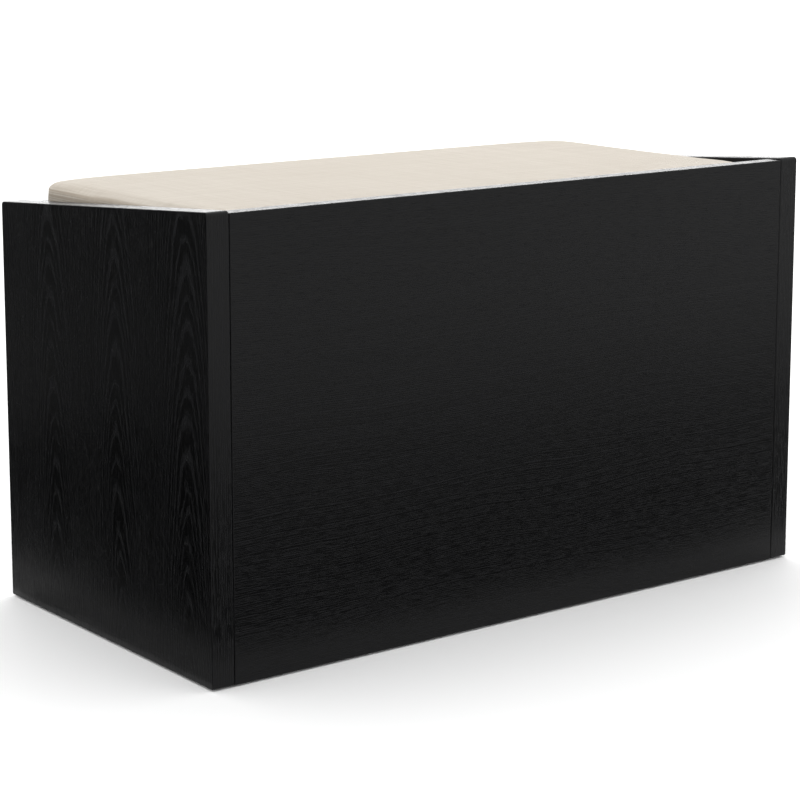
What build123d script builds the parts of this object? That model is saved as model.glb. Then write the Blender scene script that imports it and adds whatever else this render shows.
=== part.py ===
"""Storage bench: a black veneered box whose upholstered seat is a lid on two cranked friction hinges.

Millimetres. +Z is up, the front of the bench faces -Y, and the origin is on the floor under the
middle of the bench. "Left" is -X, as seen by someone who stands in front of it.
"""

import os
from math import hypot

from build123d import *

# ---- Driving dimensions -------------------------------------------------------------------------

WIDTH = 760.0  # outer faces of the two side panels
DEPTH = 390.0  # front edges to rear edges of the side panels
REAR_HEIGHT = 450.0  # top of the side panels at the rear
FRONT_HEIGHT = 420.0  # top of the side panels at the front: the top edge falls between the two
SIDE_BOARD = 25.0
PANEL_BOARD = 18.0  # front and back panels
PANEL_DROP = 2.5  # front and back panels end this far below the side panels
GLIDE_STAND = 2.0  # the glides lift every board this far off the floor

BOTTOM_BOARD = 12.0
BATTEN = 20.0  # square section of the battens under the bottom panel
BOTTOM_HEIGHT = 40.0  # underside of the bottom panel
LEDGE_WIDE = 20.0
LEDGE_HIGH = 25.0
LEDGE_TOP = 375.0

SEAT_TOP = 440.2  # flat top of the cover
SEAT_UNDER = 378.8  # underside of the cover's turned-in flange
LID_BOARD = 15.0
COVER = 1.2  # thickness of the cover fabric with its lining
SEAT_GAP_SIDE = 4.0  # seat to side panel
SEAT_GAP_FRONT = 6.5  # seat to front panel: its lower front edge swings forward as the lid opens
SEAT_GAP_REAR = 12.5  # seat to back panel: the hinge arms run down this gap
SEAT_CORNER = 25.0  # rounding of the seat's corners in plan
SEAT_EDGE = 12.0  # rounding of the seat's top edge
FLANGE = 35.0  # width of cover turned in under the lid board
DUST_CLOTH = 0.5

HINGE_X = 270.0  # middle of each hinge, left and right of centre
HINGE_DROP = 6.5  # hinge axis below the top of the back panel
HINGE_SETBACK = 6.0  # hinge axis in front of the back panel's inner face
HINGE_PLATE = 2.5  # sheet steel of the leaf and the arm
KNUCKLE = 5.5  # outer radius of the rolled knuckles
PIN = 2.5  # radius of the hinge pin
ARM_WIDE = 30.0
LEAF_WIDE = 60.0
LEAF_HIGH = 50.0
ARM_FOOT = 60.0  # length of the arm under the lid board

# ---- Small clearances and radii -----------------------------------------------------------------

ARRIS = 1.0  # softened edge of a board
INNER_ARRIS = 2.0  # fuller softened edge round the inner face of a side panel
TOP_CORNER = 4.0  # rounding of a side panel's outline
FOOT_CORNER = 2.0
FIT = 0.05  # radial clearance of a fastener in its bore
RUNNING_FIT = 0.08  # radial clearance of the hinge sleeve on its pin
SLACK = 0.5  # a blind bore is this much deeper than what it takes
SIDE_PLAY = 0.4  # between two knuckles, along the pin

# ---- Places worked out from the dimensions ------------------------------------------------------

SIDE_IN = WIDTH / 2 - SIDE_BOARD  # inner face of a side panel
REAR = DEPTH / 2
PANEL_IN = REAR - PANEL_BOARD  # inner face of the front or back panel
PANEL_MID = REAR - PANEL_BOARD / 2
BACK_TOP = REAR_HEIGHT - PANEL_DROP
FRONT_TOP = FRONT_HEIGHT - PANEL_DROP

BOARD_UNDER = SEAT_UNDER + COVER  # underside of the lid board
BOARD_TOP = BOARD_UNDER + LID_BOARD
CLOTH_UNDER = SEAT_UNDER - DUST_CLOTH
SEAT_X = SIDE_IN - SEAT_GAP_SIDE
SEAT_FRONT = -PANEL_IN + SEAT_GAP_FRONT
SEAT_REAR = PANEL_IN - SEAT_GAP_REAR
SEAT_MID = (SEAT_FRONT + SEAT_REAR) / 2
SEAT_LONG = 2 * SEAT_X
SEAT_DEEP = SEAT_REAR - SEAT_FRONT

PIN_Y = PANEL_IN - HINGE_SETBACK
PIN_Z = BACK_TOP - HINGE_DROP
SLEEVE = KNUCKLE - HINGE_PLATE + 0.6  # outer radius of the friction sleeve
FOOT_UNDER = CLOTH_UNDER - HINGE_PLATE
HINGES = (("left", -HINGE_X), ("right", HINGE_X))
SIDES = (("left", -1), ("right", 1))
STANDING = (Align.CENTER, Align.CENTER, Align.MIN)

os.makedirs("parts", exist_ok=True)


def save(part, name):
    """Label a finished piece and write it under the same name."""
    part.label = name
    export_step(part, f"parts/{name}.step")


def aimed(origin, outward):
    """A place whose local +Z points along outward: a hole or a screw there goes the other way."""
    return Plane(origin=origin, z_dir=outward).location


# ---- Fasteners: one pattern of each, made about its own axis ------------------------------------


class Screw:
    """A countersunk wood screw, its flat head at z = 0 and its point below."""

    def __init__(self, radius, head, length):
        self.radius = radius
        self.head = head
        self.length = length
        tip = 2 * radius
        sink = head - radius
        with BuildPart() as screw:
            with BuildSketch(Plane.XZ):
                with BuildLine():
                    Polyline(
                        (0, 0),
                        (head, 0),
                        (radius, -sink),
                        (radius, -length + tip),
                        (0, -length),
                        close=True,
                    )
                make_face()
            revolve(axis=Axis.Z)
            with BuildSketch(Plane.XY):
                SlotOverall(head, head / 4)
                SlotOverall(head, head / 4, rotation=90)
            extrude(amount=-sink, mode=Mode.SUBTRACT)
        self.solid = screw.part

    def bore(self, places):
        """Bore the part in hand for this screw and sink its head, in the builder that is open."""
        with Locations(*places):
            CounterSinkHole(
                self.radius + FIT, self.head + FIT, self.length + SLACK, counter_sink_angle=90
            )

    def pilot(self, places):
        """Bore the part in hand for the shank alone."""
        with Locations(*places):
            Hole(self.radius + FIT, self.length + SLACK)


FRAME_SCREW = Screw(radius=2.0, head=4.0, length=34.0)
BOTTOM_SCREW = Screw(radius=1.75, head=3.5, length=28.0)
HINGE_SCREW = Screw(radius=2.0, head=4.0, length=14.0)

DOWEL_R = 4.0
DOWEL_IN_SIDE = 12.0
DOWEL_IN_PANEL = 18.0
DOWEL_TAPER = 0.8  # bevel at each end of a dowel
DOWEL_LOWEST = 60.0
DOWEL_FROM_TOP = 45.0

CAM_R = 7.4
CAM_DEEP = 12.0
CAM_BACKSET = 24.0  # cam's middle from the end of the panel
BOLT_R = 3.5
BOLT_THREAD_R = 2.5
BOLT_THREAD = 10.5
BOLT_NECK_R = 2.0
BOLT_HEAD_R = 3.0
BOLT_HEAD_FROM = CAM_BACKSET - 3.0
BOLT_END = CAM_BACKSET + 0.5
BOLT_LOWEST = 110.0
BOLT_FROM_TOP = 107.5
CAM_MOUTH_R = BOLT_HEAD_R + 0.4  # the opening in the cam's side that takes the bolt's head
CAM_MOUTH_FROM = 2.0  # where that opening ends, beyond the cam's middle
CAM_SUNK = 0.3  # the cam's face below the panel's face
DRIVER_SLOT = (8.0, 1.6)
CAP_R = 8.5
CAP_THICK = 1.0
CAP_EDGE = 0.5
CAP_PEG_R = 1.5
CAP_PEG = 3.0

with BuildPart() as dowel:
    with BuildSketch(Plane.XY.offset(-DOWEL_IN_PANEL)):
        Circle(DOWEL_R)
    extrude(amount=DOWEL_IN_PANEL + DOWEL_IN_SIDE)
    chamfer(dowel.edges().filter_by(GeomType.CIRCLE), DOWEL_TAPER)

with BuildPart() as cam_bolt:
    with BuildSketch(Plane.XZ):
        with BuildLine():
            Polyline(
                (0, BOLT_THREAD),
                (BOLT_THREAD_R, BOLT_THREAD),
                (BOLT_THREAD_R, 0),
                (BOLT_R, 0),
                (BOLT_R, -CAM_BACKSET + CAM_R),
                (BOLT_NECK_R, -CAM_BACKSET + CAM_R),
                (BOLT_NECK_R, -BOLT_HEAD_FROM),
                (BOLT_HEAD_R, -BOLT_HEAD_FROM),
                (BOLT_HEAD_R, -BOLT_END),
                (0, -BOLT_END),
                close=True,
            )
        make_face()
    revolve(axis=Axis.Z)

# The cam's face is at z = 0 and its body below. The bolt's head enters it along local +X.
with BuildPart() as cam_lock:
    with BuildSketch(Plane.XY.offset(-CAM_DEEP)):
        Circle(CAM_R)
    extrude(amount=CAM_DEEP)
    with BuildSketch(Plane.YZ.offset(-CAM_MOUTH_FROM)):
        with Locations((0, -PANEL_BOARD / 2 + SLACK)):
            Circle(CAM_MOUTH_R)
    extrude(amount=2 * CAM_R, mode=Mode.SUBTRACT)
    with BuildSketch(Plane.XY):
        Circle(CAP_PEG_R + 4 * FIT)
        SlotOverall(*DRIVER_SLOT)
        SlotOverall(*DRIVER_SLOT, rotation=90)
    extrude(amount=-CAP_PEG - SLACK, mode=Mode.SUBTRACT)

with BuildPart() as cam_cap:
    with BuildSketch(Plane.XY):
        Circle(CAP_R)
    extrude(amount=CAP_THICK)
    fillet(cam_cap.edges().group_by(Axis.Z)[-1], CAP_EDGE)
    with BuildSketch(Plane.XY.offset(-CAP_PEG)):
        Circle(CAP_PEG_R)
    extrude(amount=CAP_PEG)

# ---- Where the fasteners go ---------------------------------------------------------------------


class Panel:
    """The front or back panel: which way it lies, how high it is, and where its fasteners are."""

    def __init__(self, name, strip, facing, top):
        self.name = name
        self.strip = strip  # what the batten and the ledge on this panel are called
        self.facing = facing  # +1 at the rear, -1 at the front
        self.top = top
        self.mid = facing * PANEL_MID
        self.inner = facing * PANEL_IN
        self.dowel_heights = (DOWEL_LOWEST, top / 2, top - DOWEL_FROM_TOP)
        self.cam_heights = (BOLT_LOWEST, top - BOLT_FROM_TOP)

    def joint_places(self, heights, sign, outward):
        """Points on one side joint, aimed along +X or -X."""
        return [aimed((sign * SIDE_IN, self.mid, z), (outward, 0, 0)) for z in heights]

    def cam_places(self):
        """The cam faces on the inner face, each turned so that the bolt enters from its end."""
        places = []
        for _, sign in SIDES:
            for z in self.cam_heights:
                centre = (sign * (SIDE_IN - CAM_BACKSET), self.inner, z)
                plane = Plane(origin=centre, x_dir=(sign, 0, 0), z_dir=(0, -self.facing, 0))
                places.append(plane.location)
        return places


BACK = Panel("back", "rear", 1, BACK_TOP)
FRONT = Panel("front", "front", -1, FRONT_TOP)
PANELS = (BACK, FRONT)

BATTEN_MID = BOTTOM_HEIGHT - BATTEN / 2
LEDGE_MID = LEDGE_TOP - LEDGE_HIGH / 2
LEDGE_TO_HINGE = 25.0  # the rear ledge ends this far short of the hinges
LEDGE_REAR_HALF = HINGE_X - LEAF_WIDE / 2 - LEDGE_TO_HINGE
LEDGE_SIDE_FROM = -PANEL_IN + LEDGE_WIDE


def long_run(facing, thick, z, xs):
    """Screws through a strip on the front or back panel, driven outwards."""
    return [aimed((x, facing * (PANEL_IN - thick), z), (0, -facing, 0)) for x in xs]


def side_run(sign, thick, z, ys):
    """Screws through a strip on a side panel, driven outwards."""
    return [aimed((sign * (SIDE_IN - thick), y, z), (-sign, 0, 0)) for y in ys]


BATTEN_SCREWS = {
    "rear": long_run(1, BATTEN, BATTEN_MID, (-300, -100, 100, 300)),
    "front": long_run(-1, BATTEN, BATTEN_MID, (-300, -100, 100, 300)),
    "left": side_run(-1, BATTEN, BATTEN_MID, (-110, 0, 110)),
    "right": side_run(1, BATTEN, BATTEN_MID, (-110, 0, 110)),
}
LEDGE_SCREWS = {
    "rear": long_run(1, LEDGE_WIDE, LEDGE_MID, (-160, 0, 160)),
    "front": long_run(-1, LEDGE_WIDE, LEDGE_MID, (-290, -97, 97, 290)),
    "left": side_run(-1, LEDGE_WIDE, LEDGE_MID, (-120, 10, 140)),
    "right": side_run(1, LEDGE_WIDE, LEDGE_MID, (-120, 10, 140)),
}
BOTTOM_PLACES = [
    aimed((x, y, BOTTOM_HEIGHT + BOTTOM_BOARD), (0, 0, 1))
    for y in (-PANEL_IN + BATTEN / 2, PANEL_IN - BATTEN / 2)
    for x in (-330, -200, 0, 200, 330)
]
LEAF_SCREWS = [
    aimed((x + dx, PANEL_IN - HINGE_PLATE, PIN_Z - dz), (0, -1, 0))
    for _, x in HINGES
    for dx in (-22, 22)
    for dz in (18, 42)
]
FOOT_SCREWS = [
    aimed((x + dx, SEAT_REAR - dy, FOOT_UNDER), (0, 0, -1))
    for _, x in HINGES
    for dx in (-9, 9)
    for dy in (20, 48)
]
GLIDE_Y = 165.0
GLIDE_R = 9.0
GLIDE_PIN_R = 1.5
GLIDE_PIN = 14.0
GLIDE_DOME = 0.8
GLIDE_PLACES = [(sign * (WIDTH - SIDE_BOARD) / 2, y) for _, sign in SIDES for y in (-GLIDE_Y, GLIDE_Y)]

# ---- Side panels --------------------------------------------------------------------------------

for side, sign in SIDES:
    with BuildPart() as side_panel:
        with BuildSketch(Plane.YZ.offset(min(sign * SIDE_IN, sign * WIDTH / 2))) as outline:
            with BuildLine():
                Polyline(
                    (-REAR, GLIDE_STAND),
                    (REAR, GLIDE_STAND),
                    (REAR, REAR_HEIGHT),
                    (-REAR, FRONT_HEIGHT),
                    close=True,
                )
            make_face()
            fillet(outline.vertices().group_by(Axis.Y)[0], FOOT_CORNER)
            fillet(outline.vertices().sort_by(Axis.Y)[-1], TOP_CORNER)
            front_top = outline.vertices().group_by(Axis.X)[0].sort_by(Axis.Y)[-1]
            fillet(front_top, TOP_CORNER)
        extrude(amount=SIDE_BOARD)
        inner_face = side_panel.faces().filter_by(Axis.X).sort_by(Axis.X)[0 if sign > 0 else -1]
        fillet(inner_face.outer_wire().edges(), INNER_ARRIS)
        outer_face = side_panel.faces().filter_by(Axis.X).sort_by(Axis.X)[-1 if sign > 0 else 0]
        fillet(outer_face.outer_wire().edges(), ARRIS)
        for panel in PANELS:
            with Locations(*panel.joint_places(panel.dowel_heights, sign, -sign)):
                Hole(DOWEL_R + FIT, DOWEL_IN_SIDE + SLACK)
            with Locations(*panel.joint_places(panel.cam_heights, sign, -sign)):
                Hole(BOLT_THREAD_R + FIT, BOLT_THREAD + SLACK)
        FRAME_SCREW.pilot(BATTEN_SCREWS[side])
        FRAME_SCREW.pilot(LEDGE_SCREWS[side])
        with Locations(*[aimed((x, y, GLIDE_STAND), (0, 0, -1)) for x, y in GLIDE_PLACES]):
            Hole(GLIDE_PIN_R + FIT, GLIDE_PIN + SLACK)
    save(side_panel.part, f"side_panel_{side}")

# ---- Front and back panels ----------------------------------------------------------------------

for panel in PANELS:
    with BuildPart() as box_panel:
        with BuildSketch(Plane.XY.offset(GLIDE_STAND)):
            with Locations((0, panel.mid)):
                Rectangle(2 * SIDE_IN, PANEL_BOARD)
        extrude(amount=panel.top - GLIDE_STAND)
        upright = box_panel.edges().filter_by(Axis.Z).group_by(Axis.Y)
        outer_ends = upright[-1 if panel is BACK else 0]  # these show beside the side panels' edges
        fillet(box_panel.edges().filter_by(Axis.X) + outer_ends, ARRIS)
        for _, sign in SIDES:
            with Locations(*panel.joint_places(panel.dowel_heights, sign, sign)):
                Hole(DOWEL_R + FIT, DOWEL_IN_PANEL + SLACK)
            with Locations(*panel.joint_places(panel.cam_heights, sign, sign)):
                Hole(BOLT_R + FIT, CAM_BACKSET)
        with Locations(*panel.cam_places()):
            Hole(CAM_R + FIT, CAM_DEEP + SLACK)
        FRAME_SCREW.pilot(BATTEN_SCREWS[panel.strip])
        FRAME_SCREW.pilot(LEDGE_SCREWS[panel.strip])
        if panel is BACK:
            HINGE_SCREW.pilot(LEAF_SCREWS)
    save(box_panel.part, f"{panel.name}_panel")

# ---- Bottom panel -------------------------------------------------------------------------------

BOTTOM_PLAY = 0.5  # the bottom panel drops in between the four walls
with BuildPart() as bottom_panel:
    with BuildSketch(Plane.XY.offset(BOTTOM_HEIGHT)):
        Rectangle(2 * (SIDE_IN - BOTTOM_PLAY), 2 * (PANEL_IN - BOTTOM_PLAY))
    extrude(amount=BOTTOM_BOARD)
    fillet(bottom_panel.edges().group_by(Axis.Z)[-1], ARRIS / 2)
    BOTTOM_SCREW.bore(BOTTOM_PLACES)
save(bottom_panel.part, "bottom_panel")

# ---- Battens under the bottom panel, and the ledges that the lid rests on -----------------------


class Strip:
    """A straight strip of solid wood: its middle, its length along X or Y, and its section."""

    def __init__(self, x, y, x_long, y_long, low, high):
        self.centre = (x, y)
        self.x_long = x_long
        self.y_long = y_long
        self.low = low
        self.high = high

    def build(self):
        """Make the bare strip in the builder that is open."""
        with Locations((*self.centre, self.low)):
            Box(self.x_long, self.y_long, self.high - self.low, align=STANDING)


BATTEN_LOW = BOTTOM_HEIGHT - BATTEN
BATTENS = {}
for name, facing in (("front", -1), ("rear", 1)):
    y_mid = facing * (PANEL_IN - BATTEN / 2)
    BATTENS[name] = Strip(0, y_mid, 2 * SIDE_IN, BATTEN, BATTEN_LOW, BOTTOM_HEIGHT)
for name, sign in SIDES:
    x_mid = sign * (SIDE_IN - BATTEN / 2)
    BATTENS[name] = Strip(x_mid, 0, BATTEN, 2 * (PANEL_IN - BATTEN), BATTEN_LOW, BOTTOM_HEIGHT)

LEDGE_LOW = LEDGE_TOP - LEDGE_HIGH
LEDGES = {
    "front": Strip(0, -PANEL_IN + LEDGE_WIDE / 2, 2 * SIDE_IN, LEDGE_WIDE, LEDGE_LOW, LEDGE_TOP),
    "rear": Strip(0, PANEL_IN - LEDGE_WIDE / 2, 2 * LEDGE_REAR_HALF, LEDGE_WIDE, LEDGE_LOW, LEDGE_TOP),
}
for name, sign in SIDES:
    x_mid = sign * (SIDE_IN - LEDGE_WIDE / 2)
    y_mid = (LEDGE_SIDE_FROM + PANEL_IN) / 2
    y_long = PANEL_IN - LEDGE_SIDE_FROM
    LEDGES[name] = Strip(x_mid, y_mid, LEDGE_WIDE, y_long, LEDGE_LOW, LEDGE_TOP)

for name, strip in BATTENS.items():
    with BuildPart() as batten:
        strip.build()
        FRAME_SCREW.bore(BATTEN_SCREWS[name])
        BOTTOM_SCREW.pilot(BOTTOM_PLACES)
    save(batten.part, f"bottom_batten_{name}")

for name, strip in LEDGES.items():
    with BuildPart() as ledge:
        strip.build()
        FRAME_SCREW.bore(LEDGE_SCREWS[name])
    save(ledge.part, f"lid_ledge_{name}")

# ---- Fasteners in place -------------------------------------------------------------------------

for panel in PANELS:
    with BuildPart() as dowels:
        for _, sign in SIDES:
            with Locations(*panel.joint_places(panel.dowel_heights, sign, sign)):
                add(dowel.part)
    save(dowels.part, f"{panel.name}_dowels")

with BuildPart() as cam_bolts:
    for panel in PANELS:
        for _, sign in SIDES:
            with Locations(*panel.joint_places(panel.cam_heights, sign, sign)):
                add(cam_bolt.part)
save(cam_bolts.part, "cam_bolts")

for name, pattern, lift in (("cam_locks", cam_lock.part, -CAM_SUNK), ("cam_caps", cam_cap.part, 0.0)):
    with BuildPart() as cams:
        for panel in PANELS:
            with Locations(*panel.cam_places()):
                with Locations((0, 0, lift)):
                    add(pattern)
    save(cams.part, name)

SCREW_GROUPS = {
    "batten_screws": (FRAME_SCREW, [place for run in BATTEN_SCREWS.values() for place in run]),
    "ledge_screws": (FRAME_SCREW, [place for run in LEDGE_SCREWS.values() for place in run]),
    "bottom_screws": (BOTTOM_SCREW, BOTTOM_PLACES),
    "hinge_screws_back": (HINGE_SCREW, LEAF_SCREWS),
    "hinge_screws_lid": (HINGE_SCREW, FOOT_SCREWS),
}
for name, (screw, places) in SCREW_GROUPS.items():
    with BuildPart() as screws:
        with Locations(*places):
            add(screw.solid)
    save(screws.part, name)

# ---- Floor glides: domed buttons on a pin, pressed into the side panels -------------------------

with BuildPart() as floor_glides:
    with BuildSketch(Plane.XY):
        with Locations(*GLIDE_PLACES):
            Circle(GLIDE_R)
    extrude(amount=GLIDE_STAND)
    fillet(floor_glides.edges().group_by(Axis.Z)[0], GLIDE_DOME)
    with BuildSketch(Plane.XY.offset(GLIDE_STAND)):
        with Locations(*GLIDE_PLACES):
            Circle(GLIDE_PIN_R)
    extrude(amount=GLIDE_PIN)
save(floor_glides.part, "floor_glides")

# ---- Lid bumpers: rubber buttons on the ledges, just clear of the closed lid --------------------

BUMPER_R = 5.0
BUMPER_CLEAR = 0.3
BUMPER_DOME = 1.2
BUMPER_X = SIDE_IN - LEDGE_WIDE / 2
BUMPER_FRONT_X = BUMPER_X - LEDGE_WIDE
BUMPER_FRONT_Y = -PANEL_IN + LEDGE_WIDE / 2
BUMPER_REAR_Y = 130.0
with BuildPart() as lid_bumpers:
    with BuildSketch(Plane.XY.offset(LEDGE_TOP)):
        for x in (-BUMPER_X, BUMPER_X):
            with Locations((x, 0), (x, BUMPER_REAR_Y)):
                Circle(BUMPER_R)
        for x in (-BUMPER_FRONT_X, 0, BUMPER_FRONT_X):
            with Locations((x, BUMPER_FRONT_Y)):
                Circle(BUMPER_R)
    extrude(amount=SEAT_UNDER - BUMPER_CLEAR - LEDGE_TOP)
    fillet(lid_bumpers.edges().group_by(Axis.Z)[-1], BUMPER_DOME)
save(lid_bumpers.part, "lid_bumpers")

# ---- Lid: board, foam, cover, dust cloth and staples --------------------------------------------


def seat_block(low, high, inset, edge):
    """A block with the seat's plan, drawn in by inset, its top edge rounded by edge."""
    with BuildPart(mode=Mode.PRIVATE) as block:
        with BuildSketch(Plane.XY.offset(low)):
            with Locations((0, SEAT_MID)):
                RectangleRounded(SEAT_LONG - 2 * inset, SEAT_DEEP - 2 * inset, SEAT_CORNER - inset)
        extrude(amount=high - low)
        if edge:
            fillet(block.edges().group_by(Axis.Z)[-1], edge)
    return block.part


with BuildPart() as lid_board:
    add(seat_block(BOARD_UNDER, BOARD_TOP, COVER, 0))
    HINGE_SCREW.pilot(FOOT_SCREWS)
save(lid_board.part, "lid_board")

with BuildPart() as seat_foam:
    add(seat_block(BOARD_TOP, SEAT_TOP - COVER, COVER, SEAT_EDGE - COVER))
save(seat_foam.part, "seat_foam")

with BuildPart() as seat_cover:
    add(seat_block(SEAT_UNDER, SEAT_TOP, 0, SEAT_EDGE))
    add(seat_block(BOARD_UNDER, SEAT_TOP - COVER, COVER, SEAT_EDGE - COVER), mode=Mode.SUBTRACT)
    with BuildSketch(Plane.XY.offset(SEAT_UNDER)):
        with Locations((0, SEAT_MID)):
            Rectangle(SEAT_LONG - 2 * FLANGE, SEAT_DEEP - 2 * FLANGE)
    extrude(amount=COVER, mode=Mode.SUBTRACT)
    HINGE_SCREW.pilot(FOOT_SCREWS)
save(seat_cover.part, "seat_cover")

CLOTH_INSET = 18.0  # the dust cloth stops short of the ledges
CLOTH_LONG = SEAT_LONG - 2 * CLOTH_INSET
CLOTH_DEEP = SEAT_DEEP - 2 * CLOTH_INSET
with BuildPart() as dust_cloth:
    with BuildSketch(Plane.XY.offset(CLOTH_UNDER)):
        with Locations((0, SEAT_MID)):
            Rectangle(CLOTH_LONG, CLOTH_DEEP)
    extrude(amount=DUST_CLOTH)
    HINGE_SCREW.pilot(FOOT_SCREWS)
save(dust_cloth.part, "dust_cloth")

STAPLE_CROWN = 10.0
STAPLE_WIRE = 0.6
STAPLE_INSET = 7.0  # staples inside the dust cloth's edge
STAPLE_PITCH = 55.0
LONG_ROW_INSET = 20.0  # the first and last staple of a long row, in from the corner
SHORT_ROW_INSET = 10.0
HINGE_KEEP_OUT = ARM_WIDE / 2 + STAPLE_CROWN


def staple_row(length):
    """Evenly spaced places along one edge of this length, centred on it."""
    count = int(length // STAPLE_PITCH) + 1
    pitch = length / (count - 1)
    return [i * pitch - length / 2 for i in range(count)]


STAPLE_X = CLOTH_LONG / 2 - STAPLE_INSET
STAPLE_Y = CLOTH_DEEP / 2 - STAPLE_INSET
with BuildPart() as staples:
    with BuildSketch(Plane.XY.offset(CLOTH_UNDER - STAPLE_WIRE)):
        for facing in (-1, 1):
            for x in staple_row(2 * (STAPLE_X - LONG_ROW_INSET)):
                under_arm = facing > 0 and abs(abs(x) - HINGE_X) < HINGE_KEEP_OUT
                if not under_arm:
                    with Locations((x, SEAT_MID + facing * STAPLE_Y)):
                        Rectangle(STAPLE_CROWN, STAPLE_WIRE)
        for _, sign in SIDES:
            for y in staple_row(2 * (STAPLE_Y - SHORT_ROW_INSET)):
                with Locations((sign * STAPLE_X, SEAT_MID + y)):
                    Rectangle(STAPLE_WIRE, STAPLE_CROWN)
    extrude(amount=STAPLE_WIRE)
save(staples.part, "staples")

# ---- Hinges -------------------------------------------------------------------------------------
# The leaf is screwed to the back panel and ends in two knuckles. The arm hangs from the knuckle
# between them, passes down behind the seat, and turns forward under the lid board.


def along_pin(radius, x_from, x_to, mode=Mode.ADD):
    """A cylinder about the hinge axis, in the builder that is open."""
    with Locations(aimed((x_from, PIN_Y, PIN_Z), (1, 0, 0))):
        Cylinder(radius, x_to - x_from, align=STANDING, mode=mode)


ARM_FRONT = PIN_Y - KNUCKLE + SLACK  # front face of the arm's strap
ARM_BACK = ARM_FRONT + HINGE_PLATE
BEND = 3.0  # inner radius of the bend under the seat
PIN_HEAD_R = 3.6
PIN_HEAD = 1.2
PIN_HEAD_EDGE = 0.8
PIN_TAPER = 0.5
LEAF_CORNER = 3.0
LEAF_NOTCH = 2 * KNUCKLE + 4.0  # height of the opening in the leaf behind the arm's knuckle
FOOT_CORNER_ROUND = 6.0

for side, hinge_x in HINGES:
    x_low = hinge_x - LEAF_WIDE / 2
    x_high = hinge_x + LEAF_WIDE / 2
    arm_low = hinge_x - ARM_WIDE / 2
    arm_high = hinge_x + ARM_WIDE / 2

    with BuildPart() as hinge_leaf:
        with BuildSketch(Plane.XZ.offset(-PANEL_IN)) as plate:
            with Locations((hinge_x, PIN_Z - LEAF_HIGH / 2)):
                RectangleRounded(LEAF_WIDE, LEAF_HIGH, LEAF_CORNER)
            with Locations((hinge_x, PIN_Z)):
                Rectangle(ARM_WIDE + 2 * SIDE_PLAY, LEAF_NOTCH, mode=Mode.SUBTRACT)
        extrude(amount=HINGE_PLATE)
        along_pin(KNUCKLE, x_low, arm_low - SIDE_PLAY)
        along_pin(KNUCKLE, arm_high + SIDE_PLAY, x_high)
        along_pin(PIN + FIT, x_low, x_high, mode=Mode.SUBTRACT)
        HINGE_SCREW.bore(LEAF_SCREWS)
    save(hinge_leaf.part, f"hinge_leaf_{side}")

    with BuildPart() as hinge_pin:
        along_pin(PIN, x_low, x_high + PIN_HEAD)
        along_pin(PIN_HEAD_R, x_low - PIN_HEAD, x_low)
        chamfer(hinge_pin.edges().filter_by(GeomType.CIRCLE).sort_by(Axis.X)[-1], PIN_TAPER)
        fillet(hinge_pin.edges().filter_by(GeomType.CIRCLE).sort_by(Axis.X)[0], PIN_HEAD_EDGE)
    save(hinge_pin.part, f"hinge_pin_{side}")

    with BuildPart() as hinge_sleeve:
        along_pin(SLEEVE, arm_low, arm_high)
        along_pin(PIN + RUNNING_FIT, arm_low, arm_high, mode=Mode.SUBTRACT)
    save(hinge_sleeve.part, f"hinge_sleeve_{side}")

    with BuildPart() as hinge_arm:
        with BuildSketch(Plane.YZ.offset(arm_low)) as strap:
            with BuildLine():
                FilletPolyline(
                    (ARM_BACK, PIN_Z),
                    (ARM_BACK, FOOT_UNDER),
                    (SEAT_REAR - ARM_FOOT, FOOT_UNDER),
                    radius=BEND + HINGE_PLATE,
                )
                FilletPolyline(
                    (ARM_FRONT, PIN_Z),
                    (ARM_FRONT, CLOTH_UNDER),
                    (SEAT_REAR - ARM_FOOT, CLOTH_UNDER),
                    radius=BEND,
                )
                Line((ARM_BACK, PIN_Z), (ARM_FRONT, PIN_Z))
                Line((SEAT_REAR - ARM_FOOT, FOOT_UNDER), (SEAT_REAR - ARM_FOOT, CLOTH_UNDER))
            make_face()
        extrude(amount=ARM_WIDE)
        foot_end = hinge_arm.edges().filter_by(Axis.Z).group_by(Axis.Y)[0]
        fillet(foot_end, FOOT_CORNER_ROUND)
        along_pin(KNUCKLE, arm_low, arm_high)
        along_pin(SLEEVE + FIT, arm_low, arm_high, mode=Mode.SUBTRACT)
        HINGE_SCREW.bore(FOOT_SCREWS)
    save(hinge_arm.part, f"hinge_arm_{side}")

# ---- The lid's lower front edge comes forward before it clears the front panel ------------------

reach = hypot(PIN_Y - SEAT_FRONT, PIN_Z - SEAT_UNDER)
print(f"lid edge sweeps {reach - (PIN_Y - SEAT_FRONT):.2f} mm forward in a gap of {SEAT_GAP_FRONT} mm")
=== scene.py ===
# %% [markdown]
# # A storage bench with an upholstered lid
# The bench is a box of boards veneered in black-stained ash, with a padded seat that lifts on two
# cranked hinges. The packed frame already holds every board, screw and hinge at its true size, so
# this lesson adds what a frame can't have: the veneer's grain, the padded seat with its woven
# cover, the cloth stapled under the lid, the staples themselves, and the light.

# %% Load the frame
import math

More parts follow.
